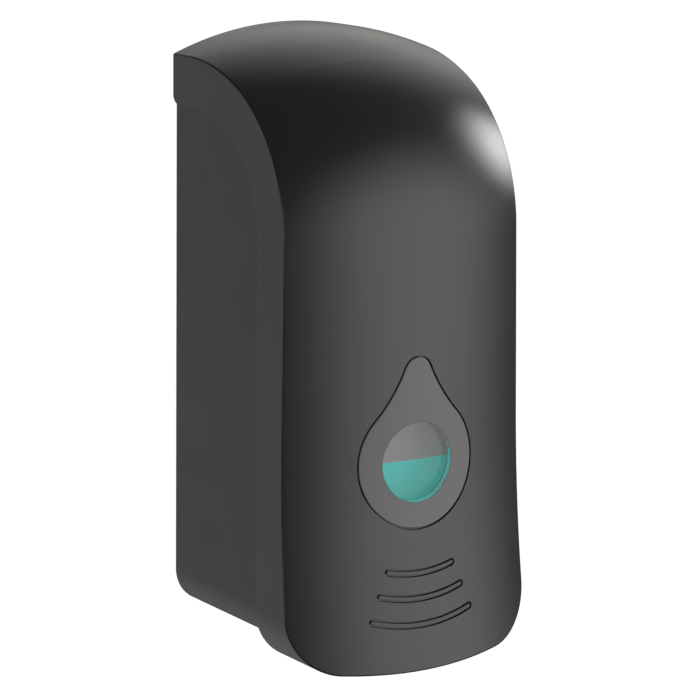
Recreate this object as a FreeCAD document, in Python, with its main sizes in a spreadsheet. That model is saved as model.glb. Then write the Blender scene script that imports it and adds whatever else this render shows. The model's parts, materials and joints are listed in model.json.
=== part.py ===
"""Wall mounted push soap dispenser, as an assembly of separate pieces.

Depth is measured forward from the wall (global -Y), height from the underside of the rear
housing, and x is positive to the dispenser's left side as it faces the room. The finished
frame has its origin on the wall plane at the centre of the four wall screws, +Z up.
"""
import FreeCAD, Part
import math
import os

import Sketcher

SIZES = {
    # wall screws
    "wall_centre": 120, "screw_across": 70, "screw_upright": 120, "screw_hole": 2.4,
    # cover: front outline
    "half_base": 60, "taper": 0.015, "cover_low": -10.3, "cover_corner": 24, "foot_radius": 350,
    "outline_top": 262,
    # cover: the gap in its floor round the hinge
    "gap_half": 37, "gap_rear": 60, "gap_front": 101, "gap_high": -6,
    # cover: its rear edge and the thickness of its sides
    "rear_gap": 1.4, "side_wall": 2,
    # how far a cutting shape runs past what it cuts, the full depth and half the width of the
    # space the part is built in, where the front layers begin, and what counts as no distance
    "over": 1, "room": 115, "room_half": 65, "front_rear": 85, "front_run": 30, "tiny": 0.01,
    # cover: the rounding of the ridge, and a point in front of it
    "ridge_round": 0.8, "ridge_height": 125, "ridge_front": 100,
    # cover: the curve that carries the bowed skin, seen from the side
    "spine_top": 238.4, "flat_run": 14, "brow_radius": 87.5, "brow_angle": 28,
    "shoulder_radius": 65.5, "toe_start": 90, "toe_radius": 640,
    "skin_half": 62, "skin_bow": 13.5, "skin_wall": 2.4, "band_depth": 18.5, "ear_radius": 4,
    "path_end": 4, "ear_reach": 0.8,
    # teardrop panel and window
    "window_height": 77.4, "window_radius": 17, "drop_radius": 27.8, "drop_tip": 121.7,
    "drop_tip_radius": 6.5, "drop_flank": 75, "drop_gap": 0.65, "panel_wall": 1.15,
    "recess": 1.2, "boss_radius": 27, "boss_rear": 97, "lens_radius": 20.5, "lens_wall": 1.8,
    "lens_gap": 0.08, "lens_inset": 0.1, "lens_play": 0.1, "lens_run": 12,
    "panel_round": 0.45, "panel_front": 110,
    "lens_gasket_wall": 0.8, "retainer_wall": 1.6, "retainer_screw_ring": 24,
    "retainer_screw_radius": 0.9, "retainer_head_radius": 1.9, "retainer_head": 1.1,
    "retainer_thread": 2, "retainer_shank": 3.4, "retainer_play": 0.2, "retainer_clear": 1.2,
    # smile grooves
    "groove_width": 3.2, "groove_depth": 1.3, "groove_gap": 0.8,
    "groove_top_half": 15.8, "groove_top_end": 32.7, "groove_top_sag": 1.9,
    "groove_mid_half": 20, "groove_mid_end": 22.9, "groove_mid_sag": 2.7,
    "groove_low_half": 24.2, "groove_low_end": 12.7, "groove_low_sag": 3.5,
    # rear housing
    "housing_inset": 2.5, "housing_wall": 2.2, "housing_corner": 16, "back_wall": 2.5,
    "housing_offset": 16, "housing_front": 75.5, "floor_front": 67, "floor_step": 8.5,
    "shelf_low": 47.5, "shelf_front": 62, "shelf_half": 54, "shelf_root": 0.5,
    "nozzle_hole": 9, "spigot_room": 14.5, "thread_radius": 1.5,
    # lower hinge of the swing frame
    "hinge_depth": 80, "hinge_height": -5, "hinge_pin": 2, "hinge_run": 0.06,
    "lug_radius": 4.4, "lug_inner": 27, "lug_wall": 4, "lug_rear": 58, "lug_low": -9, "lug_high": 0.4,
    "frame_lug": 32, "frame_lug_wall": 3, "frame_lug_radius": 3.6, "frame_lug_front": 83,
    "frame_lug_high": 6, "hinge_head_radius": 3.4, "hinge_head": 1.6, "hinge_pin_run": 8.8,
    # ear pivots and swing frame
    "pivot_depth": 11, "pivot_height": 229, "pivot_pin": 2.5, "pivot_run": 0.05,
    "arm_inner": 48.2, "arm_wall": 2.5, "ear_boss": 51.3, "ear_boss_radius": 5,
    "cross_rear": 76, "cross_low": 4, "cross_high": 10, "arm_eye": 6,
    "pivot_head_radius": 4, "pivot_head": 2, "pivot_pin_run": 7,
    # soap tank
    "tank_low": 50, "tank_high": 200, "tank_rear": 9, "tank_front": 87, "tank_half": 45.5,
    "tank_slope": 150, "tank_slope_top": 62, "tank_round": 6, "tank_wall": 1.6,
    "neck_depth": 36, "neck_radius": 14, "neck_bore": 12, "neck_high": 210,
    "neck_lug_low": 205, "neck_lug_high": 207, "neck_lug_half": 1.5, "neck_lug_play": 0.4,
    "soap_level": 74.4, "soap_gap": 0.15,
    "cap_radius": 18, "cap_low": 202.5, "cap_high": 212.9, "cap_bore": 15.7, "cap_wall": 2,
    "cap_edge": 1, "grip_half": 13, "grip_wall_half": 1.6, "grip_root": 0.5, "grip_high": 3.6,
    "filler_gasket_inset": 0.2, "filler_gasket_wall": 0.8,
    # pump
    "pump_height": 24, "port_depth": 44, "barrel_radius": 10.5, "barrel_bore": 7.2,
    "barrel_rear": 37, "barrel_floor": 40, "barrel_front": 66, "spigot_radius": 9,
    "spigot_bore": 6.5, "spigot_low": 39, "flange_radius": 8.8, "flange_low": 36,
    "pump_neck_radius": 6.5, "pump_neck_low": 30, "flange_wall": 2, "outlet_top": 18,
    "outlet_bore": 2.2, "outlet_bore_top": 20, "pump_gasket_bore": 4.6, "pump_gasket_wall": 1,
    "nut_reach": 13, "nut_low": 34.8, "nut_run": 11.7, "nut_play": 0.05, "nut_lip_radius": 6.8,
    "end_cap_lip": 1.4, "end_cap_wall": 2.6, "end_cap_edge": 0.8, "end_cap_face": 0.6,
    "cage_radius": 4.45, "cage_low": 31.5, "cage_port": 1.6, "ball_radius": 2.3,
    "ball_lift": 0.02,
    "ball_room": 2.6, "ball_seat": 32.3, "ball_stop": 37.2,
    "piston_radius": 7.12, "piston_rear": 59.2, "piston_front": 64.2, "rod_radius": 4,
    "rod_run": 0.08, "head_radius": 9, "head_rear": 80.5, "head_edge": 83.4, "head_dome": 84.9,
    "seal_groove_low": 1.5, "seal_groove_high": 3.5, "seal_groove_radius": 5.9,
    "seal_run": 1.8, "seal_start": 1.6, "seal_squeeze": 0.04,
    "spring_radius": 5.6, "spring_wire": 0.5, "spring_turns": 6,
    "outlet_radius": 4.4, "outlet_low": 2, "nozzle_radius": 6.4, "nozzle_low": -7,
    "nozzle_high": 11.3, "nozzle_mouth": 3.6, "nozzle_tip": 5.6, "nozzle_edge": 1.4,
    "nozzle_room": 4.85, "nozzle_floor": 2, "valve_slit": 0.5, "valve_tip": 1.3, "valve_low": -4.5,
    "valve_waist": 3.1, "valve_rim": 4.8, "valve_rim_low": 0.3, "valve_rim_high": 1.95,
    "valve_bore": 2.2, "bracket_play": 0.4, "screw_root": 0.5, "screw_run": 4,
    "bracket_head_radius": 3.1, "bracket_head": 2, "keeper_head_radius": 2.9, "keeper_head": 1.8,
    "bracket_half": 14, "bracket_wall": 2, "bracket_low": 11.5,
    "bracket_high": 34, "bracket_front": 56, "bracket_screw_x": 8, "bracket_screw_z": 27,
    # press block on the cover
    "press_half": 12, "press_low": 17.5, "press_high": 31, "press_rear": 87.9, "press_stem": 95,
    "pad_rear": 85.3,
    "pad_half": 10, "pad_low": 20,
    # cover lock
    "lock_depth": 40, "lock_height": 226, "lock_radius": 4.95, "lock_bore": 3.45,
    "lock_end": 44, "lock_flange": 6.5, "lock_face": 58, "lock_seat": 56.7, "barrel_pin": 3.4,
    "lock_edge": 0.5, "lock_nut_reach": 6, "lock_nut_start": 52.3, "lock_nut_run": 2.1,
    "barrel_proud": 0.3, "square_half": 1.8, "key_run": 4, "key_half": 0.5, "key_reach": 2.4,
    "cam_inner": 41.4, "cam_outer": 43, "cam_reach": 14, "cam_half": 3, "cam_hub": 4.4,
    "cam_thread": 1, "cam_screw_face": 1.9, "cam_screw_head_radius": 2.6,
    "cam_screw_edge": 0.7, "cam_screw_head": 1.4, "cam_screw_run": 3.6,
    "keeper_left": 36, "keeper_right": 44, "keeper_high": 217, "keeper_strip": 206,
    "keeper_front": 47, "keeper_wall": 2, "keeper_low": 196, "keeper_screw_z": 201,
}


class Size:
    """A dimension that carries its value and the sheet expression that gives it."""

    def __init__(self, value, text):
        self.value = value
        self.text = text

    def __add__(self, other):
        other = size(other)
        return Size(self.value + other.value, f"({self.text} + {other.text})")

    def __sub__(self, other):
        other = size(other)
        return Size(self.value - other.value, f"({self.text} - {other.text})")

    def __mul__(self, other):
        other = size(other)
        return Size(self.value * other.value, f"({self.text} * {other.text})")

    def __truediv__(self, other):
        other = size(other)
        return Size(self.value / other.value, f"({self.text} / {other.text})")

    def __radd__(self, other):
        return size(other) + self

    def __rsub__(self, other):
        return size(other) - self

    def __rmul__(self, other):
        return size(other) * self

    def __neg__(self):
        return Size(-self.value, f"(0 - {self.text})")

    def root(self):
        return Size(math.sqrt(self.value), f"sqrt({self.text})")

    def sine(self):
        return Size(math.sin(math.radians(self.value)), f"sin({self.text})")

    def cosine(self):
        return Size(math.cos(math.radians(self.value)), f"cos({self.text})")


def size(number):
    """Turn a plain number into a Size; leave a Size as it is."""
    return number if isinstance(number, Size) else Size(float(number), f"{number:g}")


class Dims:
    """The driving dimensions, each as a Size bound to its cell in the sheet."""


doc = FreeCAD.newDocument("SoapDispenser")
sheet = doc.addObject("Spreadsheet::Sheet", "Dims")
for row, (word, number) in enumerate(SIZES.items(), start=1):
    sheet.set(f"A{row}", word)
    sheet.set(f"B{row}", str(number))
    sheet.setAlias(f"B{row}", word)
    setattr(Dims, word, Size(float(number), f"Dims.{word}"))
doc.recompute()
D = Dims

SIDES = (("right", -1), ("left", 1))
# outline of the swing frame's arm: (depth, height), up its front edge and down its rear edge
ARM = ((81.5, 4), (80.5, 152), (63, 195), (13.7, 232.6),
       (8.3, 225.4), (55.5, 189), (72, 148.5), (74.3, 4))
QUARTER, THIRD, SIXTH = 90, 120, 60
# a pan head's straight rim as a share of its height, and its flat face as a share of its radius
HEAD_EDGE, HEAD_FACE = 0.6, 0.75
TURN = {
    "x": FreeCAD.Rotation(FreeCAD.Vector(0, 1, 0), QUARTER),
    "forward": FreeCAD.Rotation(FreeCAD.Vector(1, 0, 0), QUARTER),
    "up": FreeCAD.Rotation(),
}
PLANE = {"side": "YZ_Plane", "front": "XZ_Plane", "top": "XY_Plane"}
nodes = {}


# ---------------------------------------------------------------- helpers

def around(radius, angle):
    """A point on a circle, by its angle in degrees, which starts sideways and turns upwards."""
    turn = size(angle)
    return radius * turn.cosine(), radius * turn.sine()


def place(thing, x=0, depth=0, height=0, turn="up"):
    """Place a thing at a depth in front of the wall and a height above the housing's underside."""
    spot = {"x": size(x), "y": -size(depth), "z": size(height) - D.wall_centre}
    base = FreeCAD.Vector(*(spot[key].value for key in "xyz"))
    thing.Placement = FreeCAD.Placement(base, TURN[turn])
    for key in "xyz":
        thing.setExpression(f"Placement.Base.{key}", spot[key].text)
    return thing


def block(name, x, depth, height):
    """A box between two limits each way."""
    box = doc.addObject("Part::Box", name)
    for side, (low, high) in (("Length", x), ("Width", depth), ("Height", height)):
        box.setExpression(side, (size(high) - low).text)
    return place(box, x[0], depth[1], height[0])


def rod(name, turn, radius, length, x=0, depth=0, height=0):
    """A cylinder that starts at a point and runs along x, forward or up."""
    cylinder = doc.addObject("Part::Cylinder", name)
    cylinder.setExpression("Radius", size(radius).text)
    cylinder.setExpression("Height", size(length).text)
    return place(cylinder, x, depth, height, turn)


def cut(name, base, *tools):
    """Take the tools away from the base."""
    result = doc.addObject("Part::Cut", name)
    result.Base = base
    result.Tool = tools[0] if len(tools) == 1 else fuse(name + "_tools", *tools)
    return result


def fuse(name, *shapes):
    result = doc.addObject("Part::MultiFuse", name)
    result.Shapes = list(shapes)
    result.Refine = True
    return result


def common(name, *shapes):
    result = doc.addObject("Part::MultiCommon", name)
    result.Shapes = list(shapes)
    return result


def keep(name, thing):
    """Name a finished piece; its Label names its file."""
    thing.Label = name
    nodes[name] = thing
    return thing


def new_sketch(body, name, plane):
    """A sketch on one of the body's own origin planes."""
    sketch = body.newObject("Sketcher::SketchObject", name)
    role = PLANE[plane]
    origin_plane = next(part for part in body.Origin.OriginFeatures if part.Role == role)
    sketch.AttachmentSupport = (origin_plane, [""])
    sketch.MapMode = "FlatFace"
    return sketch


def bind(sketch, constraint, value):
    """Add one dimensional constraint and bind it to the sheet."""
    index = sketch.addConstraint(constraint)
    word = f"size_{index}"
    sketch.renameConstraint(index, word)
    sketch.setExpression(f"Constraints.{word}", value.text)


def draw(sketch, outline, closed=True):
    """Draw straight edges and arcs through points.

    A point is (across, up), or (across, up, centre_across, centre_up, radius, sense) when the
    edge that leaves it is an arc; sense is 1 for counter-clockwise and -1 for clockwise.
    """
    count = len(outline) if closed else len(outline) - 1
    ends = []
    for index in range(count):
        here = outline[index]
        there = outline[(index + 1) % len(outline)]
        a = FreeCAD.Vector(size(here[0]).value, size(here[1]).value, 0)
        b = FreeCAD.Vector(size(there[0]).value, size(there[1]).value, 0)
        if len(here) == 2:
            edge = sketch.addGeometry(Part.LineSegment(a, b))
            ends.append((edge, 1, 2))
            continue
        centre = FreeCAD.Vector(here[2].value, here[3].value, 0)
        circle = Part.Circle(centre, FreeCAD.Vector(0, 0, 1), here[4].value)
        start, stop = (a, b) if here[5] > 0 else (b, a)
        angles = [math.atan2(end.y - centre.y, end.x - centre.x) for end in (start, stop)]
        edge = sketch.addGeometry(Part.ArcOfCircle(circle, *angles))
        ends.append((edge, 1, 2) if here[5] > 0 else (edge, 2, 1))
        bind(sketch, Sketcher.Constraint("Radius", edge, here[4].value), here[4])
    for index, (edge, first, last) in enumerate(ends):
        pin(sketch, edge, first, outline[index])
        if closed or index + 1 < count:
            following = ends[(index + 1) % count]
            sketch.addConstraint(Sketcher.Constraint("Coincident", edge, last, *following[:2]))
        else:
            pin(sketch, edge, last, outline[-1])


def pin(sketch, edge, end, point):
    """Fix one edge end at a point given by sheet sizes."""
    across, up = size(point[0]), size(point[1])
    for kind, value in (("DistanceX", across), ("DistanceY", up)):
        bind(sketch, Sketcher.Constraint(kind, -1, 1, edge, end, value.value), value)


def plate(name, plane, outline, start, thickness, rounding=None, chosen=None):
    """A flat sided body: an outline in the side, front or top view, given a thickness.

    It runs from start towards +x (side), forward (front) or up (top). Chosen edges are rounded.
    """
    body = doc.addObject("PartDesign::Body", name)
    sketch = new_sketch(body, name + "_outline", plane)
    draw(sketch, outline)
    pad = body.newObject("PartDesign::Pad", name + "_pad")
    pad.Profile = sketch
    pad.setExpression("Length", size(thickness).text)
    body.Tip = pad
    if rounding is not None:
        doc.recompute()
        edges = [f"Edge{number}" for number, edge in enumerate(pad.Shape.Edges, start=1)
                 if chosen is None or chosen(edge)]
        fillet = body.newObject("PartDesign::Fillet", name + "_round")
        fillet.Base = (pad, edges)
        fillet.setExpression("Radius", size(rounding).text)
        body.Tip = fillet
    spot = {"side": "x", "front": "depth", "top": "height"}[plane]
    return place(body, **{spot: start})


def rounded(name, thing, radius, x, depth, height):
    """thing with its edge nearest a point rounded, along with those that run on smoothly from it."""
    doc.recompute()
    spot = Part.Vertex(*(size(way).value for way in (x, -size(depth), size(height) - D.wall_centre)))
    gaps = [edge.distToShape(spot)[0] for edge in thing.Shape.Edges]
    body = doc.addObject("PartDesign::Body", name)
    body.BaseFeature = thing
    fillet = body.newObject("PartDesign::Fillet", name + "_round")
    fillet.Base = (body.Group[0], [f"Edge{gaps.index(min(gaps)) + 1}"])
    fillet.setExpression("Radius", size(radius).text)
    body.Tip = fillet
    return body


def turned(name, turn, profile, x=0, depth=0, height=0):
    """A body of revolution from (radius, along) points, with its axis along x, forward or up."""
    body = doc.addObject("PartDesign::Body", name)
    sketch = new_sketch(body, name + "_profile", "front")
    draw(sketch, profile)
    revolution = body.newObject("PartDesign::Revolution", name + "_turn")
    revolution.Profile = sketch
    revolution.ReferenceAxis = (sketch, ["V_Axis"])
    revolution.Angle = 360
    body.Tip = revolution
    return place(body, x, depth, height, turn)


def hexagon(reach):
    """The corners of a hexagon round the origin."""
    return [around(reach, SIXTH * step) for step in range(6)]


def ring(name, turn, outer, inner, length, x=0, depth=0, height=0):
    """A plain ring."""
    profile = [(inner, 0), (outer, 0), (outer, length), (inner, length)]
    return turned(name, turn, profile, x, depth, height)


def seen_from_side(points):
    """Turn (depth, height) points, with any arcs, into the side sketch's own coordinates."""
    turned_points = []
    for point in points:
        flipped = (-size(point[0]), size(point[1]))
        if len(point) > 2:
            flipped += (-size(point[2]), size(point[3]), point[4], -point[5])
        turned_points.append(flipped)
    return turned_points


def spine_points(offset, start, end):
    """The cover's side curve, moved inward by an offset, from the wall down to a height."""
    brow = D.brow_radius - offset
    shoulder = D.shoulder_radius - offset
    toe = D.toe_radius + offset
    sine, cosine = D.brow_angle.sine(), D.brow_angle.cosine()
    brow_centre = (D.flat_run, D.spine_top - D.brow_radius)
    step = D.brow_radius - D.shoulder_radius
    shoulder_centre = (brow_centre[0] + step * sine, brow_centre[1] + step * cosine)
    front = shoulder_centre[0] + shoulder
    toe_centre = front + toe
    drop = D.toe_start - end
    toe_end = toe_centre - (toe * toe - drop * drop).root()
    return [
        (start, D.spine_top - offset),
        (D.flat_run, D.spine_top - offset, *brow_centre, brow, -1),
        (brow_centre[0] + brow * sine, brow_centre[1] + brow * cosine,
         *shoulder_centre, shoulder, -1),
        (front, shoulder_centre[1]),
        (front, D.toe_start, toe_centre, D.toe_start, toe, 1),
        (toe_end, end),
    ]


def straight_down(offset, start, end):
    """The offset curve, but running straight down from the shoulder, without the toe."""
    curve = spine_points(offset, start, D.toe_start - 1)[:4]
    return curve + [(curve[3][0], end)]


def backwards(points):
    """The same edges walked from the last point to the first."""
    walked = []
    for index in range(len(points) - 1, -1, -1):
        point = points[index][:2]
        if index and len(points[index - 1]) > 2:
            arc = points[index - 1][2:]
            point += (*arc[:3], -arc[3])
        walked.append(point)
    return walked


def half_width(height, inset):
    """Half of the dispenser's width at a height: its sides lean in a little going up."""
    return D.half_base - D.taper * height - inset


def front_prism(name, inset, low, start, length, corner, foot=None):
    """The front outline with its two rounded lower corners, as a block.

    Its lower edge is straight, or an arc of radius foot whose lowest point is at low.
    """
    high = D.outline_top
    half = half_width(low, inset)
    corner_height = low
    arc = ()
    if foot:
        centre = low + foot
        corner_height = centre - (foot * foot - half * half).root()
        arc = (size(0), centre, foot, 1)
    outline = [(-half, corner_height, *arc), (half, corner_height),
               (half_width(high, inset), high), (-half_width(high, inset), high)]

    def lower_corner(edge):
        """Whether an edge runs from front to back at a lower corner."""
        first, last = (vertex.Point for vertex in edge.Vertexes)
        levels = (first.z, last.z, corner_height.value)
        return max(levels) - min(levels) < D.tiny.value and abs(first.x - last.x) < D.tiny.value

    return plate(name, "front", outline, start, length, corner, lower_corner)


def skin_strip(outer, inner):
    """Section of a layer of the bowed skin, between two depths below its outer surface."""
    radius = (D.skin_half * D.skin_half + D.skin_bow * D.skin_bow) / (D.skin_bow * 2)
    middle = D.spine_top + D.skin_bow - radius
    levels = []
    for depth in (outer, inner):
        reach = radius - depth
        levels.append((reach, middle + (reach * reach - D.skin_half * D.skin_half).root()))
    (top_radius, top_end), (low_radius, low_end) = levels
    side, centre = D.skin_half, size(0)
    return [(side, top_end, centre, middle, top_radius, 1), (-side, top_end),
            (-side, low_end, centre, middle, low_radius, -1), (side, low_end)]


def bow_section():
    """Section of everything between the side curve's level and the skin's outer surface."""
    radius = (D.skin_half * D.skin_half + D.skin_bow * D.skin_bow) / (D.skin_bow * 2)
    middle = D.spine_top + D.skin_bow - radius
    return [(D.skin_half, D.spine_top, size(0), middle, radius, 1), (-D.skin_half, D.spine_top)]


def swept(name, section):
    """Sweep a section of the skin along the cover's side curve, from the wall to below the foot."""
    body = doc.addObject("PartDesign::Body", name)
    profile = new_sketch(body, name + "_section", "front")
    draw(profile, section)
    path = new_sketch(body, name + "_path", "side")
    points = spine_points(size(0), size(0), D.cover_low - D.path_end)
    draw(path, seen_from_side(points), closed=False)
    doc.recompute()
    pipe = body.newObject("PartDesign::AdditivePipe", name + "_pipe")
    pipe.Profile = profile
    pipe.Spine = (path, [f"Edge{number}" for number in range(1, len(points))])
    body.Tip = pipe
    return place(body)


def teardrop(name, margin):
    """The teardrop outline, a block through the front skin, grown by a margin."""
    big, small = D.drop_radius + margin, D.drop_tip_radius + margin
    flank = D.drop_flank - margin
    low = D.window_height
    tip = D.drop_tip - D.drop_tip_radius
    apart = tip - low
    reach_big, reach_small = big + flank, small + flank
    up = (reach_big * reach_big - reach_small * reach_small + apart * apart) / (apart * 2)
    across = (reach_big * reach_big - up * up).root()
    big_x, big_z = across * big / reach_big, low + up * big / reach_big
    small_x = across * small / reach_small
    small_z = tip + (up - apart) * small / reach_small
    centre = size(0)
    outline = [
        (big_x, big_z, across, low + up, flank, -1),
        (small_x, small_z, centre, tip, small, 1),
        (-small_x, small_z, -across, low + up, flank, -1),
        (-big_x, big_z, centre, low, big, 1),
    ]
    return plate(name, "front", outline, D.front_rear, D.front_run)


def groove(name, half, end, sag, inset):
    """One smile: an arc of constant width with round ends, made narrower all round by the inset."""
    radius = (half * half + sag * sag) / (sag * 2)
    middle = end - sag + radius
    reach = D.groove_width / 2 - inset
    outer, inner = radius + reach, radius - reach
    sine, cosine = half / radius, (radius - sag) / radius
    centre = size(0)
    outline = [
        (-outer * sine, middle - outer * cosine, centre, middle, outer, 1),
        (outer * sine, middle - outer * cosine),
        (inner * sine, middle - inner * cosine, centre, middle, inner, -1),
        (-inner * sine, middle - inner * cosine),
    ]
    band = plate(name + "_band", "front", outline, D.front_rear, D.front_run)
    ends = [rod(f"{name}_end_{side}", "forward", reach, D.front_run, x, D.front_rear, end)
            for side, x in (("right", -half), ("left", half))]
    return fuse(name, band, *ends)


def screw(name, turn, shank, head, head_length, length, x, depth, height):
    """A pan head screw: the head's underside is at the start point plus the shank's length."""
    top = length + head_length
    profile = [(0, 0), (shank, 0), (shank, length), (head, length),
               (head, length + head_length * HEAD_EDGE), (head * HEAD_FACE, top), (0, top)]
    return turned(name, turn, profile, x, depth, height)


# ---------------------------------------------------------------- cover

def make_cover():
    """The front cover with its side bands, ears, recess, grooves and window boss."""
    outer = front_prism("cover_outer", 0, D.cover_low, D.rear_gap, D.room, D.cover_corner,
                        D.foot_radius)
    inner = front_prism("cover_inner", D.side_wall, D.cover_low + D.side_wall, 0, D.room,
                        D.cover_corner - D.side_wall, D.foot_radius - D.side_wall)
    foot = D.cover_low - D.over
    outside = spine_points(size(0), D.rear_gap, foot)
    inside = backwards(straight_down(D.band_depth, D.rear_gap + D.ear_radius, foot))
    ear = D.spine_top - D.band_depth
    rounding = [(D.rear_gap + D.ear_radius, ear, D.rear_gap + D.ear_radius, ear + D.ear_radius,
                 D.ear_radius, -1), (D.rear_gap, ear + D.ear_radius)]
    band_outline = seen_from_side(outside + inside[:-1] + rounding)
    band = plate("band", "side", band_outline, -D.room_half, D.room_half * 2)
    skin = common("skin", swept("skin_pipe", skin_strip(size(0), D.skin_wall)), outer)
    bow = swept("bow_pipe", bow_section())
    rim = cut("rim", outer, inner)
    shell = fuse("shell", skin, common("bands", fuse("bands_and_bow", band, bow), rim))
    floor_gap = block("floor_gap", (-D.gap_half, D.gap_half), (D.gap_rear, D.gap_front),
                      (D.cover_low - D.over, D.gap_high))
    boss = common("window_boss", bow, rod("window_boss_rod", "forward", D.boss_radius, D.lens_run,
                                          0, D.boss_rear, D.window_height))
    ear_bosses, ear_bores = [], []
    for side, sign in SIDES:
        reach = half_width(D.pivot_height, D.side_wall) + D.ear_reach
        start = D.ear_boss if sign > 0 else -reach
        bore_start = D.ear_boss - D.over if sign > 0 else -reach
        ear_bosses.append(rod(f"ear_boss_{side}", "x", D.ear_boss_radius, reach - D.ear_boss,
                              start, D.pivot_depth, D.pivot_height))
        ear_bores.append(rod(f"ear_bore_{side}", "x", D.pivot_pin + D.pivot_run,
                             reach - D.ear_boss + D.over, bore_start,
                             D.pivot_depth, D.pivot_height))
    solid = fuse("cover_solid", cut("open_shell", shell, floor_gap), boss, *ear_bosses)
    layer = swept("recess_layer", skin_strip(-D.over, D.recess))
    groove_layer = swept("groove_layer", skin_strip(-D.over, D.groove_depth))
    smiles = [("top", D.groove_top_half, D.groove_top_end, D.groove_top_sag),
              ("mid", D.groove_mid_half, D.groove_mid_end, D.groove_mid_sag),
              ("low", D.groove_low_half, D.groove_low_end, D.groove_low_sag)]
    grooves = fuse("grooves", *[
        cut(f"groove_{name}", groove(f"groove_{name}_outside", half, end, sag, size(0)),
            groove(f"groove_{name}_bar", half, end, sag, D.groove_gap))
        for name, half, end, sag in smiles])
    seat = D.lens_wall + D.lens_gasket_wall
    window = [rod("window_hole", "forward", D.window_radius + D.drop_gap, D.front_run,
                  0, D.front_rear, D.window_height),
              rod("lens_seat", "forward", D.lens_radius + D.lens_play, seat + D.over,
                  0, D.boss_rear - D.over, D.window_height)]
    screws = [rod(f"retainer_thread_{number}", "forward", D.retainer_screw_radius,
                  D.retainer_thread + D.over, x, D.boss_rear - D.over, D.window_height + up)
              for number, x, up in retainer_spots()]
    lock_hole = rod("lock_hole", "x", D.lock_radius, D.room_half, 0, D.lock_depth, D.lock_height)
    cover = cut(
        "front_cover_cut", solid,
        common("drop_recess", layer, teardrop("recess_drop", D.drop_gap)),
        common("groove_cuts", groove_layer, grooves), *window, *screws, *ear_bores, lock_hole)
    keep("front_cover", rounded("front_cover_rounded", cover, D.ridge_round,
                                half_width(D.ridge_height, 0), D.ridge_front, D.ridge_height))
    make_panel()
    make_press_block(bow)


def retainer_spots():
    """The three retainer screws: number, x, and height from the window's centre."""
    return [(number, *around(D.retainer_screw_ring, QUARTER + THIRD * (number - 1)))
            for number in (1, 2, 3)]


def make_panel():
    """The teardrop panel, the window lens behind it, its gasket and its retaining ring."""
    layer = swept("panel_layer", skin_strip(size(0), D.panel_wall))
    hole = rod("panel_hole", "forward", D.window_radius, D.front_run,
               0, D.front_rear, D.window_height)
    panel = cut("drop_panel_cut", common("panel_drop", layer, teardrop("panel_outline", size(0))),
                hole)
    keep("drop_panel", rounded("drop_panel_rounded", panel, D.panel_round,
                               0, D.panel_front, D.drop_tip))
    flange = rod("lens_flange", "forward", D.lens_radius, D.lens_wall,
                 0, D.boss_rear, D.window_height)
    plug = rod("lens_plug", "forward", D.window_radius - D.lens_gap, D.lens_run,
               0, D.boss_rear, D.window_height)
    front = swept("lens_front", skin_strip(D.lens_inset, D.lens_run))
    keep("window_lens", fuse("window_lens_solid", flange, common("lens_face", front, plug)))
    keep("lens_gasket", ring("lens_gasket_ring", "forward", D.lens_radius,
                             D.window_radius + D.drop_gap, D.lens_gasket_wall,
                             0, D.boss_rear + D.lens_wall, D.window_height))
    retainer = ring("retainer_ring", "forward", D.boss_radius - D.retainer_play,
                    D.window_radius + D.retainer_clear, D.retainer_wall,
                    0, D.boss_rear - D.retainer_wall, D.window_height)
    holes = [rod(f"retainer_hole_{number}", "forward", D.retainer_screw_radius, D.front_run, x,
                 D.front_rear, D.window_height + up) for number, x, up in retainer_spots()]
    keep("lens_retainer", cut("lens_retainer_cut", retainer, *holes))
    for number, x, up in retainer_spots():
        head = D.retainer_head
        tip = head + D.retainer_shank
        profile = [(0, 0), (D.retainer_head_radius * HEAD_FACE, 0),
                   (D.retainer_head_radius, head - head * HEAD_EDGE),
                   (D.retainer_head_radius, head), (D.retainer_screw_radius, head),
                   (D.retainer_screw_radius, tip), (0, tip)]
        keep(f"retainer_screw_{number}", turned(
            f"retainer_screw_{number}_turn", "forward", profile,
            x, D.boss_rear - D.retainer_wall - head, D.window_height + up))


def make_press_block(bow):
    """The block behind the grooves that drives the pump, and its rubber pad."""
    wide, high = (-D.press_half, D.press_half), (D.press_low, D.press_high)
    stem = block("press_stem", wide, (D.press_rear, D.press_stem), high)
    nose = common("press_nose", block("press_raw", wide, (D.press_rear, D.room), high), bow)
    keep("press_block", cut("press_block_cut", fuse("press_fit", stem, nose),
                            swept("press_skin", skin_strip(-D.over, D.skin_wall))))
    keep("press_pad", block("press_pad_block", (-D.pad_half, D.pad_half),
                            (D.pad_rear, D.press_rear), (D.pad_low, D.press_high)))


# ---------------------------------------------------------------- rear housing

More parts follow.
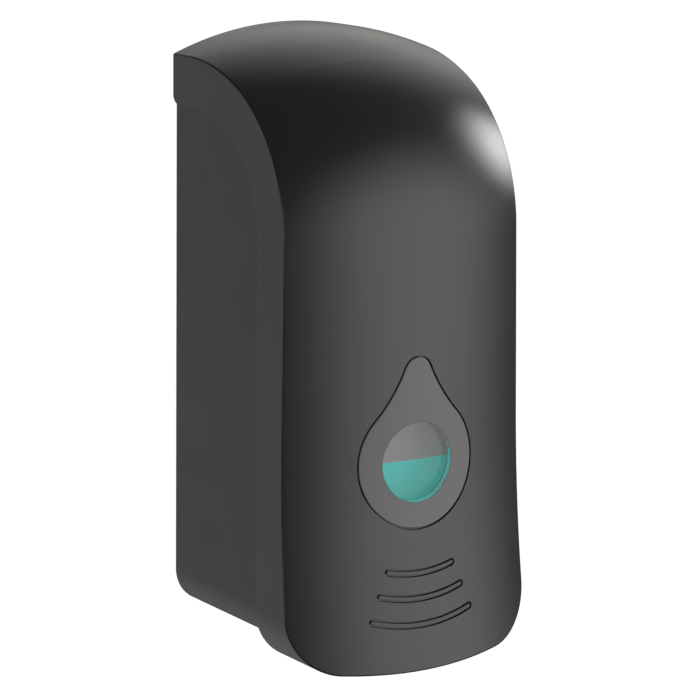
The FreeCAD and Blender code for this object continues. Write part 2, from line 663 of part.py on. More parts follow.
def make_housing():
    """The open fronted wall housing: back plate, side walls, floor, shelf and hinge lugs."""
    outer = front_prism("housing_outer", D.housing_inset, size(0), 0, D.housing_front,
                        D.housing_corner)
    inner = front_prism("housing_inner", D.housing_inset + D.housing_wall, D.housing_wall,
                        D.back_wall, D.room, D.housing_corner - D.housing_wall)
    curve = straight_down(D.housing_offset, size(0), D.floor_step)
    side = seen_from_side(curve + [(D.floor_front, D.floor_step), (D.floor_front, -D.over),
                                   (0, -D.over)])
    limit = plate("housing_side", "side", side, -D.room_half, D.room_half * 2)
    walls = common("housing_walls", cut("housing_tray", outer, inner), limit)
    shelf = block("shelf", (-D.shelf_half, D.shelf_half),
                  (D.back_wall - D.shelf_root, D.shelf_front), (D.shelf_low, D.tank_low))
    lugs = []
    for side_name, start in (("right", -D.lug_inner - D.lug_wall), ("left", D.lug_inner)):
        lugs.append(block(f"lug_{side_name}", (start, start + D.lug_wall),
                          (D.lug_rear, D.hinge_depth), (D.lug_low, D.lug_high)))
        lugs.append(rod(f"lug_round_{side_name}", "x", D.lug_radius, D.lug_wall,
                        start, D.hinge_depth, D.hinge_height))
    solid = fuse("housing_solid", walls, shelf, *lugs)
    through = D.back_wall + D.over * 2
    holes = [rod("hinge_bore", "x", D.hinge_pin, D.room_half * 2, -D.room_half,
                 D.hinge_depth, D.hinge_height),
             rod("floor_nozzle_hole", "up", D.nozzle_hole, through, 0, D.port_depth, -D.over),
             rod("shelf_hole", "up", D.spigot_room, through,
                 0, D.port_depth, D.shelf_low - D.over)]
    for column, x in (("right", -D.screw_across / 2), ("left", D.screw_across / 2)):
        for level, up in (("low", -D.screw_upright / 2), ("high", D.screw_upright / 2)):
            holes.append(rod(f"wall_hole_{column}_{level}", "forward", D.screw_hole, through,
                             x, -D.over, D.wall_centre + up))
    for side_name, sign in SIDES:
        holes.append(rod(f"bracket_thread_{side_name}", "forward", D.thread_radius, through,
                         D.bracket_screw_x * sign, -D.over, D.bracket_screw_z))
    holes.append(rod("keeper_thread", "forward", D.thread_radius, through,
                     keeper_middle(), -D.over, D.keeper_screw_z))
    keep("rear_housing", cut("rear_housing_cut", solid, *holes))


def keeper_middle():
    return (D.keeper_left + D.keeper_right) / 2


# ---------------------------------------------------------------- swing frame

def make_frame():
    """The sheet steel frame that hinges at the foot and carries the cover by its ears."""
    arm_outline = seen_from_side([(depth, size(height)) for depth, height in ARM])
    pieces = [block("cross_plate", (-D.arm_inner - D.arm_wall, D.arm_inner + D.arm_wall),
                    (D.cross_rear, D.cross_rear + D.arm_wall), (D.cross_low, D.cross_high))]
    pivots = []
    for side, sign in SIDES:
        start = D.arm_inner if sign > 0 else -D.arm_inner - D.arm_wall
        pieces.append(plate(f"arm_{side}", "side", arm_outline, start, D.arm_wall))
        pieces.append(rod(f"arm_eye_{side}", "x", D.arm_eye, D.arm_wall, start,
                          D.pivot_depth, D.pivot_height))
        lug = D.frame_lug if sign > 0 else -D.frame_lug - D.frame_lug_wall
        pieces.append(block(f"frame_lug_{side}", (lug, lug + D.frame_lug_wall),
                            (D.cross_rear, D.frame_lug_front),
                            (D.hinge_height, D.frame_lug_high)))
        pieces.append(rod(f"frame_lug_round_{side}", "x", D.frame_lug_radius, D.frame_lug_wall,
                          lug, D.hinge_depth, D.hinge_height))
        pivots.append(rod(f"arm_bore_{side}", "x", D.pivot_pin, D.arm_wall + D.over * 2,
                          start - D.over, D.pivot_depth, D.pivot_height))
    bore = rod("frame_hinge_bore", "x", D.hinge_pin + D.hinge_run, D.room_half * 2,
               -D.room_half, D.hinge_depth, D.hinge_height)
    keep("carrier_frame", cut("carrier_cut", fuse("carrier_solid", *pieces), bore, *pivots))
    for side, sign in SIDES:
        make_pin(f"pivot_pin_{side}", sign, (D.pivot_head_radius, D.pivot_head),
                 (D.pivot_pin, D.pivot_pin_run), D.arm_inner, D.pivot_depth, D.pivot_height)
        make_pin(f"hinge_pin_{side}", sign, (D.hinge_head_radius, D.hinge_head),
                 (D.hinge_pin, D.hinge_pin_run), D.lug_inner, D.hinge_depth, D.hinge_height)


def make_pin(name, sign, head, shank, seat, depth, height):
    """A pin that points outward to the left (sign 1) or right (sign -1), its head on a seat.

    The head and the shank are (radius, length) each.
    """
    length = head[1] + shank[1]
    profile = [(0, 0), (head[0], 0), head, (shank[0], head[1]), (shank[0], length), (0, length)]
    start = seat - head[1]
    if sign < 0:
        profile = [(radius, length - along) for radius, along in reversed(profile)]
        start = -start - length
    keep(name, turned(name + "_turn", "x", profile, start, depth, height))


# ---------------------------------------------------------------- tank

def tank_block(name, inset, rounding):
    """The tank's outline in the side view, given its width and rounded all over."""
    low, high = D.tank_low + inset, D.tank_high - inset
    rear, front = D.tank_rear + inset, D.tank_front - inset
    drop = D.tank_high - D.tank_slope
    run = D.tank_front - D.tank_slope_top
    slant = (drop * drop + run * run).root()
    slope_low = D.tank_slope - inset * (slant - drop) / run
    slope_top = D.tank_slope_top - inset * (slant - run) / drop
    outline = seen_from_side([(rear, low), (front, low), (front, slope_low), (slope_top, high),
                              (rear, high)])
    width = (D.tank_half - inset) * 2
    return plate(name, "side", outline, inset - D.tank_half, width, rounding)


def make_tank():
    """The translucent soap tank with its filler neck and outlet spigot, and the soap in it."""
    outer = tank_block("tank_outer", size(0), D.tank_round)
    inner = tank_block("tank_inner", D.tank_wall, D.tank_round - D.tank_wall)
    root = D.tank_high - D.over
    neck = rod("neck", "up", D.neck_radius, D.neck_high - root, 0, D.neck_depth, root)
    lug_reach = D.cap_bore - D.neck_lug_play
    lugs = block("neck_lugs", (-lug_reach, lug_reach),
                 (D.neck_depth - D.neck_lug_half, D.neck_depth + D.neck_lug_half),
                 (D.neck_lug_low, D.neck_lug_high))
    spigot = rod("spigot", "up", D.spigot_radius, D.tank_low - D.spigot_low + D.over,
                 0, D.port_depth, D.spigot_low)
    inside = D.tank_high - D.tank_wall - D.over
    bores = [rod("neck_hole", "up", D.neck_bore, D.neck_high + D.over - inside,
                 0, D.neck_depth, inside),
             rod("spigot_hole", "up", D.spigot_bore,
                 D.tank_low + D.tank_wall + D.over * 2 - D.spigot_low,
                 0, D.port_depth, D.spigot_low - D.over)]
    keep("soap_tank", cut("soap_tank_cut", fuse("tank_solid", outer, neck, lugs, spigot),
                          inner, *bores))
    gap = D.tank_wall + D.soap_gap
    fill = tank_block("fill_inner", gap, D.tank_round - gap)
    below = block("below_level", (-D.room_half, D.room_half), (0, D.room),
                  (D.tank_low, D.soap_level))
    column_low = D.spigot_low + D.soap_gap
    column = rod("fill_column", "up", D.spigot_bore - D.soap_gap, D.soap_level - column_low,
                 0, D.port_depth, column_low)
    keep("liquid_soap", fuse("liquid_soap_fuse", common("fill_low", fill, below), column))
    keep("filler_gasket", ring("filler_gasket_ring", "up", D.neck_radius,
                               D.neck_bore + D.filler_gasket_inset, D.filler_gasket_wall,
                               0, D.neck_depth, D.neck_high))
    ceiling = D.cap_high - D.cap_wall
    cap_profile = [(0, ceiling), (D.cap_bore, ceiling), (D.cap_bore, D.cap_low),
                   (D.cap_radius, D.cap_low), (D.cap_radius, D.cap_high - D.cap_edge),
                   (D.cap_radius - D.cap_edge, D.cap_high), (0, D.cap_high)]
    cap = turned("cap_turn", "up", cap_profile, 0, D.neck_depth, 0)
    grip = block("cap_grip", (-D.grip_half, D.grip_half),
                 (D.neck_depth - D.grip_wall_half, D.neck_depth + D.grip_wall_half),
                 (D.cap_high - D.grip_root, D.cap_high + D.grip_high))
    keep("filler_cap", fuse("filler_cap_fuse", cap, grip))


# ---------------------------------------------------------------- pump

def make_pump():
    """The pump barrel with its inlet and outlet, valves, cap, nozzle, nut and bracket."""
    axis = {"depth": D.port_depth}
    barrel = rod("barrel", "forward", D.barrel_radius, D.barrel_front - D.barrel_rear,
                 0, D.barrel_rear, D.pump_height)
    neck = rod("pump_neck", "up", D.pump_neck_radius, D.flange_low + D.over - D.pump_neck_low,
               height=D.pump_neck_low, **axis)
    flange = rod("pump_flange", "up", D.flange_radius, D.flange_wall,
                 height=D.flange_low, **axis)
    spigot = rod("pump_outlet", "up", D.outlet_radius, D.outlet_top - D.outlet_low,
                 height=D.outlet_low, **axis)
    flange_high = D.flange_low + D.flange_wall
    bores = [rod("barrel_hole", "forward", D.barrel_bore,
                 D.barrel_front + D.over - D.barrel_floor, 0, D.barrel_floor, D.pump_height),
             rod("cage_pocket", "up", D.cage_radius, flange_high + D.over - D.cage_low,
                 height=D.cage_low, **axis),
             rod("inlet_port", "up", D.cage_port, D.cage_low + D.over - D.pump_height,
                 height=D.pump_height, **axis),
             rod("outlet_port", "up", D.outlet_bore, D.outlet_bore_top, height=0, **axis)]
    keep("pump_body", cut("pump_body_cut", fuse("pump_solid", barrel, neck, flange, spigot),
                          *bores))
    top = flange_high - D.cage_low
    stop, seat = D.ball_stop - D.cage_low, D.ball_seat - D.cage_low
    cage_profile = [(D.cage_port, 0), (D.cage_radius, 0), (D.cage_radius, top),
                    (D.cage_port, top), (D.cage_port, stop), (D.ball_room, stop),
                    (D.ball_room, seat), (D.cage_port, seat)]
    keep("ball_cage", turned("ball_cage_turn", "up", cage_profile, height=D.cage_low, **axis))
    ball = doc.addObject("Part::Sphere", "ball")
    ball.setExpression("Radius", D.ball_radius.text)
    rest = (D.ball_radius * D.ball_radius - D.cage_port * D.cage_port).root() + D.ball_lift
    keep("inlet_ball", place(ball, 0, D.port_depth, D.ball_seat + rest))
    keep("pump_gasket", ring("pump_gasket_ring", "up", D.flange_radius, D.pump_gasket_bore,
                             D.pump_gasket_wall, height=flange_high, **axis))
    nut_outline = [(across, along - D.port_depth) for across, along in hexagon(D.nut_reach)]
    nut = plate("nut_hex", "top", nut_outline, D.nut_low, D.nut_run)
    nut_bores = [rod("nut_bore", "up", D.spigot_radius + D.nut_play, D.nut_run,
                     height=D.flange_low, **axis),
                 rod("nut_lip", "up", D.nut_lip_radius, D.nut_run,
                     height=D.flange_low - D.nut_run + D.over, **axis)]
    keep("pump_nut", cut("pump_nut_cut", nut, *nut_bores))
    bore, lip = D.rod_radius + D.rod_run, D.end_cap_lip
    face = lip + D.end_cap_wall
    keep("end_cap", turned("end_cap_turn", "forward", [
        (bore, 0), (D.barrel_bore, 0), (D.barrel_bore, lip), (D.barrel_radius, lip),
        (D.barrel_radius, face - D.end_cap_face), (D.barrel_radius - D.end_cap_edge, face),
        (bore, face)], 0, D.barrel_front - lip, D.pump_height))
    make_plunger()
    make_outlet()
    make_bracket()


def make_plunger():
    """The plunger with its seal, and the return spring behind it."""
    def along(depth):
        return depth - D.piston_rear

    groove, low, high = D.seal_groove_radius, D.seal_groove_low, D.seal_groove_high
    shaft = [(0, 0), (D.piston_radius, 0), (D.piston_radius, low), (groove, low),
             (groove, high), (D.piston_radius, high), (D.piston_radius, along(D.piston_front)),
             (D.rod_radius, along(D.piston_front)), (D.rod_radius, along(D.head_rear)),
             (D.head_radius, along(D.head_rear)), (D.head_radius, along(D.head_edge))]
    rise = D.head_dome - D.head_edge
    dome = (D.head_radius * D.head_radius + rise * rise) / (rise * 2)
    shaft[-1] += (size(0), along(D.head_dome) - dome, dome, 1)
    shaft.append((0, along(D.head_dome)))
    keep("plunger", turned("plunger_turn", "forward", shaft, 0, D.piston_rear, D.pump_height))
    keep("plunger_seal", ring("plunger_seal_ring", "forward", D.piston_radius + D.seal_squeeze,
                              groove, D.seal_run, 0, D.piston_rear + D.seal_start,
                              D.pump_height))
    length = D.piston_rear - D.barrel_floor - D.spring_wire * 2
    helix = doc.addObject("Part::Helix", "spring_helix")
    helix.setExpression("Height", length.text)
    helix.setExpression("Pitch", (length / D.spring_turns).text)
    helix.setExpression("Radius", D.spring_radius.text)
    helix.SegmentLength = 1
    place(helix, 0, D.barrel_floor + D.spring_wire, D.pump_height, "forward")
    wire = doc.addObject("Part::Circle", "spring_section")
    wire.setExpression("Radius", D.spring_wire.text)
    place(wire, D.spring_radius, D.barrel_floor + D.spring_wire, D.pump_height)
    doc.recompute()
    spring = doc.addObject("Part::Sweep", "pump_spring_sweep")
    spring.Sections = [wire]
    spring.Spine = (helix, [f"Edge{number + 1}" for number in range(len(helix.Shape.Edges))])
    spring.Solid = True
    spring.Frenet = True
    keep("pump_spring", spring)


def make_outlet():
    """The nozzle under the pump and the soft valve inside it."""
    low, high = D.nozzle_low, D.nozzle_high
    keep("nozzle", turned("nozzle_turn", "up", [
        (D.nozzle_mouth, low), (D.nozzle_tip, low), (D.nozzle_radius, low + D.nozzle_edge),
        (D.nozzle_radius, high), (D.outlet_radius, high), (D.outlet_radius, D.outlet_low),
        (D.nozzle_room, D.outlet_low), (D.nozzle_room, low + D.nozzle_floor),
        (D.nozzle_mouth, low + D.nozzle_floor)], 0, D.port_depth, 0))
    keep("outlet_valve", turned("outlet_valve_turn", "up", [
        (D.valve_slit, D.valve_low), (D.valve_tip, D.valve_low),
        (D.valve_waist, D.valve_rim_low), (D.valve_rim, D.valve_rim_low),
        (D.valve_rim, D.valve_rim_high), (D.valve_bore, D.valve_rim_high)],
        0, D.port_depth, 0))


def make_bracket():
    """The steel bracket that holds the pump to the back plate, and its two screws."""
    wide = (-D.bracket_half, D.bracket_half)
    rear = D.back_wall
    solid = fuse("bracket_solid",
                 block("bracket_plate", wide, (rear, D.bracket_front),
                       (D.bracket_low, D.bracket_low + D.bracket_wall)),
                 block("bracket_back", wide, (rear, rear + D.bracket_wall),
                       (D.bracket_low, D.bracket_high)))
    holes = [rod("bracket_nozzle_hole", "up", D.nozzle_radius + D.bracket_play,
                 D.bracket_wall + D.over * 2, 0, D.port_depth, D.bracket_low - D.over)]
    for side, sign in SIDES:
        x = D.bracket_screw_x * sign
        holes.append(rod(f"bracket_hole_{side}", "forward", D.thread_radius,
                         rear + D.bracket_wall + D.over, x, 0, D.bracket_screw_z))
        keep(f"bracket_screw_{side}", screw(
            f"bracket_screw_{side}_turn", "forward", D.thread_radius, D.bracket_head_radius,
            D.bracket_head, D.screw_run, x, D.screw_root, D.bracket_screw_z))
    keep("pump_bracket", cut("pump_bracket_cut", solid, *holes))


# ---------------------------------------------------------------- lock

def make_lock():
    """The key lock in the left ear band, its cam, and the keeper strip on the back plate."""
    spot = (D.lock_depth, D.lock_height)
    seat, face = D.lock_seat - D.lock_end, D.lock_face - D.lock_end
    body = [(D.lock_bore, 0), (D.lock_radius, 0), (D.lock_radius, seat), (D.lock_flange, seat),
            (D.lock_flange, face - D.lock_edge), (D.lock_flange - D.lock_edge, face),
            (D.lock_bore, face)]
    keep("lock_body", turned("lock_body_turn", "x", body, D.lock_end, *spot))
    nut_points = [(D.lock_depth + across, D.lock_height + up)
                  for across, up in hexagon(D.lock_nut_reach)]
    nut = plate("lock_nut_hex", "side", seen_from_side(nut_points), D.lock_nut_start,
                D.lock_nut_run)
    keep("lock_nut", cut("lock_nut_cut", nut,
                         rod("lock_nut_bore", "x", D.lock_radius, D.lock_face, 0, *spot)))
    barrel = rod("lock_barrel_rod", "x", D.barrel_pin,
                 D.lock_face + D.barrel_proud - D.cam_outer, D.cam_outer, *spot)
    square_depth = (D.lock_depth - D.square_half, D.lock_depth + D.square_half)
    square_height = (D.lock_height - D.square_half, D.lock_height + D.square_half)
    square = block("lock_square", (D.cam_inner, D.cam_outer), square_depth, square_height)
    key = block("key_slot", (D.lock_face - D.key_run, D.lock_face + D.over),
                (D.lock_depth - D.key_half, D.lock_depth + D.key_half),
                (D.lock_height - D.key_reach, D.lock_height + D.key_reach))
    thread = rod("cam_thread", "x", D.cam_thread, D.cam_screw_run + D.over,
                 D.cam_inner - D.over, *spot)
    keep("lock_barrel", cut("lock_barrel_cut", fuse("lock_barrel_solid", barrel, square),
                            key, thread))
    cam = fuse("cam_solid",
               rod("cam_hub", "x", D.cam_hub, D.cam_outer - D.cam_inner, D.cam_inner, *spot),
               block("cam_arm", (D.cam_inner, D.cam_outer),
                     (D.lock_depth - D.cam_reach, D.lock_depth),
                     (D.lock_height - D.cam_half, D.lock_height + D.cam_half)))
    keep("lock_cam", cut("lock_cam_cut", cam, block(
        "cam_square", (D.cam_inner - D.over, D.cam_outer + D.over),
        square_depth, square_height)))
    head, tip = D.cam_screw_head, D.cam_screw_head + D.cam_screw_run
    screw_profile = [(0, 0), (D.cam_screw_face, 0), (D.cam_screw_head_radius, D.cam_screw_edge),
                     (D.cam_screw_head_radius, head), (D.cam_thread, head), (D.cam_thread, tip),
                     (0, tip)]
    keep("cam_screw", turned("cam_screw_turn", "x", screw_profile, D.cam_inner - head, *spot))
    wide = (D.keeper_left, D.keeper_right)
    rear, wall = D.back_wall, D.keeper_wall
    keeper = fuse("keeper_solid",
                  block("keeper_strip_block", wide, (rear, D.keeper_front),
                        (D.keeper_strip, D.keeper_strip + wall)),
                  block("keeper_tab", wide, (D.keeper_front - wall, D.keeper_front),
                        (D.keeper_strip, D.keeper_high)),
                  block("keeper_back", wide, (rear, rear + wall),
                        (D.keeper_low, D.keeper_strip + wall)))
    keep("lock_keeper", cut("lock_keeper_cut", keeper, rod(
        "keeper_hole", "forward", D.thread_radius, rear + wall + D.over,
        keeper_middle(), 0, D.keeper_screw_z)))
    keep("keeper_screw", screw(
        "keeper_screw_turn", "forward", D.thread_radius, D.keeper_head_radius, D.keeper_head,
        D.screw_run, keeper_middle(), D.screw_root, D.keeper_screw_z))


# ---------------------------------------------------------------- build and write

def check_and_write():
    """Recompute, stop on any failed object or invalid shape, and write one file per piece."""
    doc.recompute()
    failed = [thing.Name for thing in doc.Objects
              if "Invalid" in thing.State or "Error" in thing.State]
    if failed:
        raise RuntimeError(f"objects that failed: {failed}")
    os.makedirs("parts", exist_ok=True)
    for name, thing in nodes.items():
        shape = thing.Shape
        if shape.isNull() or not shape.isValid() or len(shape.Solids) != 1:
            raise RuntimeError(f"{name}: shape is empty, invalid or not one solid")
        shape.exportStep(f"parts/{name}.step")
        box = shape.BoundBox
        print(f"{name:22s} volume {shape.Volume:10.1f}  x {box.XMin:.1f}..{box.XMax:.1f}"
              f"  y {box.YMin:.1f}..{box.YMax:.1f}  z {box.ZMin:.1f}..{box.ZMax:.1f}")


make_cover()
make_housing()
make_frame()
make_tank()
make_pump()
make_lock()
check_and_write()
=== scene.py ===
"""The looks of a wall mounted push soap dispenser. Metres, with the wall plane at y = 0."""

import json
import math

import bpy
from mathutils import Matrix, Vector


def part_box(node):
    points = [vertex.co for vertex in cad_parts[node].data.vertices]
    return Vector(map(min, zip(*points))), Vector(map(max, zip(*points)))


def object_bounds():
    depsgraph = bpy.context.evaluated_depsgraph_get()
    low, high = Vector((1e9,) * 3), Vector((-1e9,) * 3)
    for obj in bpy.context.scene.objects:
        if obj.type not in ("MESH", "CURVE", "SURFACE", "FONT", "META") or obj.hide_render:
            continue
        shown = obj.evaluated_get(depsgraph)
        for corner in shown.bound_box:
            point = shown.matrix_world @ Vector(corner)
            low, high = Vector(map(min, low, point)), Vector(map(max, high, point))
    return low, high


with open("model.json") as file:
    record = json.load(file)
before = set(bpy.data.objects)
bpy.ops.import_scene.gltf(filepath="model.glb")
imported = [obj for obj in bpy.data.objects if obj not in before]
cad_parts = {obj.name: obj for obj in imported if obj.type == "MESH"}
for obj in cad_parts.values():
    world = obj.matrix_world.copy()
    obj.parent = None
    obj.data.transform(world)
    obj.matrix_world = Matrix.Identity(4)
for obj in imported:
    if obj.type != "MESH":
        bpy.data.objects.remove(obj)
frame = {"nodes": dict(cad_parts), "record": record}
cad_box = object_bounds()
MM = 0.001


# ---------------------------------------------------------------- materials

# Noise scales, in cells to the metre
FLOW_CELLS, GLOSS_CELLS, WAVE_CELLS = 14, 60, 45
STREAK_CELLS, STAIN_CELLS = 2500, 120
BLOOM_CELLS, RUBBER_GLOSS_CELLS, PORE_CELLS = 220, 400, 1800
HAZE_CELLS, MILK_CELLS, BLOWN_CELLS, SWIRL_CELLS, FLOOR_CELLS = 300, 30, 700, 40, 3
NOISE_LOW, NOISE_HIGH = 0.3, 0.7
BEVEL_SAMPLES = 6
LEVEL_BLUR = 0.1 * MM
METAL_EDGE, RUBBER_EDGE = 0.15 * MM, 0.2 * MM


def add_node(tree, kind, links=None, **values):
    """A new node, with its properties set by name and its inputs set or linked from links."""
    node = tree.nodes.new(kind)
    for key, value in values.items():
        setattr(node, key, value)
    for key, value in (links or {}).items():
        if isinstance(value, bpy.types.NodeSocket):
            tree.links.new(value, node.inputs[key])
        else:
            node.inputs[key].default_value = value
    return node


class Nodes:
    """A material's node tree, written top down."""

    def __init__(self, name):
        self.material = bpy.data.materials.new(name)
        self.material.use_nodes = True
        self.tree = self.material.node_tree
        self.tree.nodes.clear()
        self.output = self.tree.nodes.new("ShaderNodeOutputMaterial")
        self.place = self.add("ShaderNodeTexCoord").outputs["Object"]

    def add(self, kind, links=None, **values):
        return add_node(self.tree, kind, links, **values)

    def noise(self, scale, detail=2.0, roughness=0.5):
        """Noise of about scale cells to the metre."""
        links = {"Vector": self.place, "Scale": scale, "Detail": detail, "Roughness": roughness}
        return self.add("ShaderNodeTexNoise", links).outputs["Fac"]

    def between(self, value, low, high):
        """A noise value, spread from low to high."""
        links = {"Value": value, "From Min": NOISE_LOW, "From Max": NOISE_HIGH,
                 "To Min": low, "To Max": high}
        return self.add("ShaderNodeMapRange", links).outputs["Result"]

    def tint(self, factor, first, second):
        """A colour from first to second as factor goes from 0 to 1."""
        links = {0: factor, 6: (*first, 1.0), 7: (*second, 1.0)}
        return self.add("ShaderNodeMix", links, data_type="RGBA").outputs[2]

    def bump(self, height, strength, distance, normal=None):
        links = {"Height": height, "Strength": strength, "Distance": distance}
        if normal:
            links["Normal"] = normal
        return self.add("ShaderNodeBump", links).outputs["Normal"]

    def rounded(self, radius):
        """Normals rounded over sharp edges by that radius."""
        return self.add("ShaderNodeBevel", {"Radius": radius}, samples=BEVEL_SAMPLES).outputs["Normal"]

    def finish(self, shader):
        self.tree.links.new(shader.outputs[0], self.output.inputs["Surface"])
        return self.material


def shade(colour, change):
    """colour made lighter or darker by a share."""
    return tuple(min(channel * (1 + change), 1.0) for channel in colour)


def moulded(name, colour, roughness, grain=900, depth=0.02, edge=0.3):
    """Moulded plastic: faint flow clouding, uneven gloss, the mould's fine skin and softened edges."""
    nodes = Nodes(name)
    cloud = nodes.between(nodes.noise(FLOW_CELLS, detail=4.0), 0.0, 1.0)
    skin = nodes.noise(grain, detail=3.0, roughness=0.6)
    waves = nodes.noise(WAVE_CELLS, detail=1.0)
    waviness = nodes.bump(waves, strength=0.25, distance=0.05 * MM, normal=nodes.rounded(edge * MM))
    gloss = nodes.noise(GLOSS_CELLS, detail=5.0)
    links = {
        "Base Color": nodes.tint(cloud, shade(colour, -0.06), shade(colour, 0.06)),
        "Roughness": nodes.between(gloss, roughness - 0.025, roughness + 0.025),
        "Normal": nodes.bump(skin, strength=depth, distance=0.2 * MM, normal=waviness),
    }
    return nodes.finish(nodes.add("ShaderNodeBsdfPrincipled", links))


def metal(name, colour, roughness, scratch=0.15):
    """Drawn or turned steel: fine streaks in gloss and surface."""
    nodes = Nodes(name)
    streaks = nodes.noise(STREAK_CELLS, detail=2.0)
    stain = nodes.noise(STAIN_CELLS, detail=3.0)
    edges = nodes.rounded(METAL_EDGE)
    links = {
        "Base Color": nodes.tint(stain, shade(colour, -0.08), shade(colour, 0.05)),
        "Metallic": 1.0,
        "Roughness": nodes.between(streaks, roughness - 0.06, roughness + 0.06),
        "Normal": nodes.bump(streaks, strength=scratch, distance=0.01 * MM, normal=edges),
    }
    return nodes.finish(nodes.add("ShaderNodeBsdfPrincipled", links))


def rubber(name, colour, roughness):
    """Soft black rubber with a dusty bloom."""
    nodes = Nodes(name)
    bloom = nodes.between(nodes.noise(BLOOM_CELLS, detail=6.0, roughness=0.7), 0.0, 1.0)
    gloss = nodes.noise(RUBBER_GLOSS_CELLS, detail=3.0)
    pores = nodes.noise(PORE_CELLS, detail=3.0)
    edges = nodes.rounded(RUBBER_EDGE)
    links = {
        "Base Color": nodes.tint(bloom, colour, shade(colour, 0.5)),
        "Roughness": nodes.between(gloss, roughness - 0.05, roughness + 0.05),
        "Normal": nodes.bump(pores, strength=0.1, distance=0.05 * MM, normal=edges),
        "Sheen Weight": 0.1,
    }
    return nodes.finish(nodes.add("ShaderNodeBsdfPrincipled", links))


def acrylic(name):
    """Clear acrylic with the faintest haze."""
    nodes = Nodes(name)
    haze = nodes.noise(HAZE_CELLS, detail=4.0)
    links = {
        "Base Color": nodes.tint(haze, (0.96, 0.96, 0.96), (1.0, 1.0, 1.0)),
        "Roughness": nodes.between(haze, 0.02, 0.05),
        "IOR": 1.33,
        "Transmission Weight": 1.0,
    }
    return nodes.finish(nodes.add("ShaderNodeBsdfPrincipled", links))


def translucent(name, dry, wet, alpha, glow):
    """Milky blow moulded plastic, which shows the soap's colour up to its level and has a painted glow:
    it gives off a little light in that colour though it is no lamp.
    """
    nodes = Nodes(name)
    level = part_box("liquid_soap")[1].z
    height = nodes.add("ShaderNodeSeparateXYZ", {"Vector": nodes.place}).outputs["Z"]
    links = {"Value": height, "From Min": level - LEVEL_BLUR, "From Max": level + LEVEL_BLUR}
    above = nodes.add("ShaderNodeMapRange", links).outputs["Result"]
    cloud = nodes.between(nodes.noise(MILK_CELLS, detail=4.0), 0.0, 1.0)
    dry = nodes.tint(cloud, shade(dry, -0.04), shade(dry, 0.04))
    links = {0: above, 6: (*wet, 1.0), 7: dry}
    colour = nodes.add("ShaderNodeMix", links, data_type="RGBA").outputs[2]
    links = {
        "Base Color": colour,
        "Roughness": nodes.between(nodes.noise(GLOSS_CELLS, detail=5.0), 0.46, 0.54),
        "Normal": nodes.bump(nodes.noise(BLOWN_CELLS, detail=3.0), strength=0.05, distance=0.1 * MM),
        "Specular IOR Level": 0.3,
        "Alpha": alpha,
        # Painted glow: emission in the tank's own colour, standing in for the light that hardly reaches
        # inside the cover.
        "Emission Color": colour,
        "Emission Strength": glow,
    }
    return nodes.finish(nodes.add("ShaderNodeBsdfPrincipled", links))


def soap(name, colour, glow):
    """Liquid soap, with slow swirls in it and a painted glow in its own colour."""
    nodes = Nodes(name)
    swirl = nodes.between(nodes.noise(SWIRL_CELLS, detail=3.0), 0.0, 1.0)
    tint = nodes.tint(swirl, shade(colour, -0.03), shade(colour, 0.03))
    links = {
        "Base Color": tint,
        "Roughness": nodes.between(swirl, 0.1, 0.14),
        # Painted glow: the soap gives off light in its own colour though it is no lamp.
        "Emission Color": tint,
        "Emission Strength": glow,
    }
    return nodes.finish(nodes.add("ShaderNodeBsdfPrincipled", links))


CHARCOAL = (0.023, 0.027, 0.026)
PANEL_GREY = (0.142, 0.138, 0.136)
MILKY = (0.24, 0.21, 0.2)
SOAP = (0.01, 0.55, 0.5)
finishes = {
    "cover_plastic": moulded("cover_plastic", CHARCOAL, 0.22, depth=0.01),
    "housing_plastic": moulded("housing_plastic", shade(CHARCOAL, -0.1), 0.33),
    "panel_plastic": moulded("panel_plastic", PANEL_GREY, 0.38, grain=1600, edge=0.15),
    "clear_lens": acrylic("clear_lens"),
    # glow: painted light given off by the tank, which is no lamp.
    "tank_plastic": translucent("tank_plastic", MILKY, SOAP, alpha=0.75, glow=0.27),
    # glow: painted light given off by the soap, which is no lamp.
    "soap": soap("soap", SOAP, glow=0.5),
    "white_plastic": moulded("white_plastic", (0.75, 0.75, 0.73), 0.35),
    "grey_plastic": moulded("grey_plastic", (0.2, 0.21, 0.21), 0.4),
    "seal_rubber": rubber("seal_rubber", (0.02, 0.02, 0.02), 0.6),
    "pale_silicone": moulded("pale_silicone", (0.5, 0.5, 0.48), 0.5),
    "pad_rubber": rubber("pad_rubber", (0.03, 0.03, 0.032), 0.7),
    "steel": metal("steel", (0.6, 0.6, 0.6), 0.3),
    "spring_steel": metal("spring_steel", (0.5, 0.51, 0.52), 0.25),
    "screw_steel": metal("screw_steel", (0.62, 0.62, 0.6), 0.28),
    "chrome": metal("chrome", (0.75, 0.76, 0.77), 0.12, scratch=0.05),
}
for part in frame["record"]["subparts"]:
    piece = frame["nodes"][part["node"]]
    piece.data.materials.clear()
    piece.data.materials.append(finishes[part["material_slot"]])


# ---------------------------------------------------------------- camera, light and floor

AZIMUTH, ELEVATION, DISTANCE = math.radians(32.8), math.radians(11.44), 1.277
LENS, SENSOR = 155.17, 36.0
FLOOR_GLOW = 0.75
MIDDLE = Vector((0, -0.05, 0))
AIM_LEFT, AIM_DOWN = 0.13 * MM, 3.46 * MM

ahead = Vector((
    math.sin(AZIMUTH) * math.cos(ELEVATION),
    math.cos(AZIMUTH) * math.cos(ELEVATION),
    -math.sin(ELEVATION),
))
sideways = Vector((math.cos(AZIMUTH), -math.sin(AZIMUTH), 0.0))
aim = MIDDLE - AIM_LEFT * sideways - AIM_DOWN * sideways.cross(ahead)
camera = bpy.data.objects.new("camera", bpy.data.cameras.new("camera"))
camera.data.lens = LENS
camera.data.sensor_width = SENSOR
camera.location = aim - DISTANCE * ahead
camera.rotation_mode = "QUATERNION"
camera.rotation_quaternion = ahead.to_track_quat("-Z", "Y")
bpy.context.scene.collection.objects.link(camera)
bpy.context.scene.camera = camera
bpy.context.scene.view_settings.view_transform = "Standard"


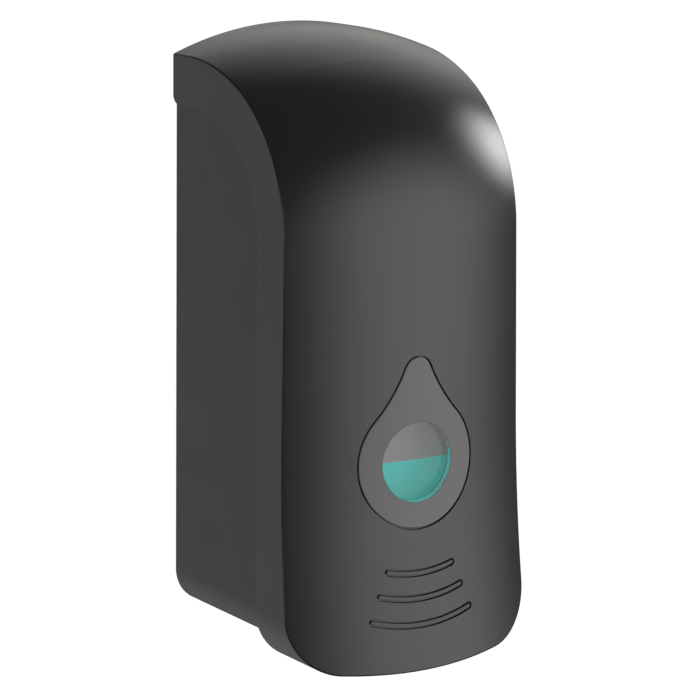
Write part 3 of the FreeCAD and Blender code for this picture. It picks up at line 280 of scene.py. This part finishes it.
def towards(azimuth, elevation):
    """The direction at an azimuth, 0 being straight out from the wall, and an elevation, in degrees."""
    turn, lift = math.radians(azimuth), math.radians(elevation)
    level = math.cos(lift)
    return Vector((math.sin(turn) * level, -math.cos(turn) * level, math.sin(lift)))


def surround(glows, level):
    """A studio of soft glows on grey, which the camera sees as white.

    Each glow is its azimuth, elevation, inner and outer angle in degrees, its radiance and its colour.
    """
    world = bpy.data.worlds.new("studio")
    world.use_nodes = True
    tree = world.node_tree
    tree.nodes.clear()

    def add(kind, links=None, **values):
        return add_node(tree, kind, links, **values).outputs

    direction = add("ShaderNodeTexCoord")["Generated"]
    total = (level, level, level)
    for azimuth, elevation, inner, outer, radiance, colour in glows:
        links = {0: direction, 1: towards(azimuth, elevation)}
        facing = add("ShaderNodeVectorMath", links, operation="DOT_PRODUCT")["Value"]
        angle = add("ShaderNodeMath", {0: facing}, operation="ARCCOSINE")["Value"]
        links = {"Value": angle, "From Min": math.radians(outer), "From Max": math.radians(inner)}
        share = add("ShaderNodeMapRange", links, interpolation_type="SMOOTHSTEP")["Result"]
        links = {0: Vector(colour) * radiance, "Scale": share}
        glow = add("ShaderNodeVectorMath", links, operation="SCALE")["Vector"]
        total = add("ShaderNodeVectorMath", {0: total, 1: glow})["Vector"]
    seen = add("ShaderNodeLightPath")["Is Camera Ray"]
    links = {0: seen, 6: total, 7: (1, 1, 1, 1)}
    light = add("ShaderNodeMix", links, data_type="RGBA")[2]
    background = add("ShaderNodeBackground", {"Color": light})["Background"]
    add("ShaderNodeOutputWorld", {"Surface": background})
    bpy.context.scene.world = world


def lay_floor(drop, reach):
    """A pale floor that much under the part. Only the camera sees it, so the glows from below stay."""
    level = cad_box[0].z - drop
    mesh = bpy.data.meshes.new("floor")
    corners = [(x * reach, y * reach, level) for x, y in ((-1, -1), (1, -1), (1, 1), (-1, 1))]
    mesh.from_pydata(corners, [], [(0, 1, 2, 3)])
    floor = bpy.data.objects.new("floor", mesh)
    bpy.context.scene.collection.objects.link(floor)
    floor.visible_glossy = floor.visible_diffuse = floor.visible_transmission = False
    nodes = Nodes("pale_floor")
    cloud = nodes.between(nodes.noise(FLOOR_CELLS, detail=3.0), 0.0, 1.0)
    pale = nodes.tint(cloud, (0.9, 0.9, 0.9), (0.93, 0.93, 0.93))
    links = {
        "Base Color": pale,
        "Roughness": 0.9,
        "Emission Color": pale,
        "Emission Strength": FLOOR_GLOW,
    }
    mesh.materials.append(nodes.finish(nodes.add("ShaderNodeBsdfPrincipled", links)))


WHITE, WARM = (1, 1, 1), (1, 0.99, 0.95)
front_light = (32, -2, 10, 53, 2.1, WHITE)
rear_light = (134, 35, 6, 44, 0.95, WARM)
low_light = (-150, -22, 5, 65, 0.5, WHITE)
side_light = (-78, 0, 6, 14, 2.5, WHITE)
highlight = (86, 18.5, 0, 20, 10.5, WHITE)
surround([front_light, rear_light, low_light, side_light, highlight], level=0.1)
lay_floor(drop=0.4, reach=20.0)
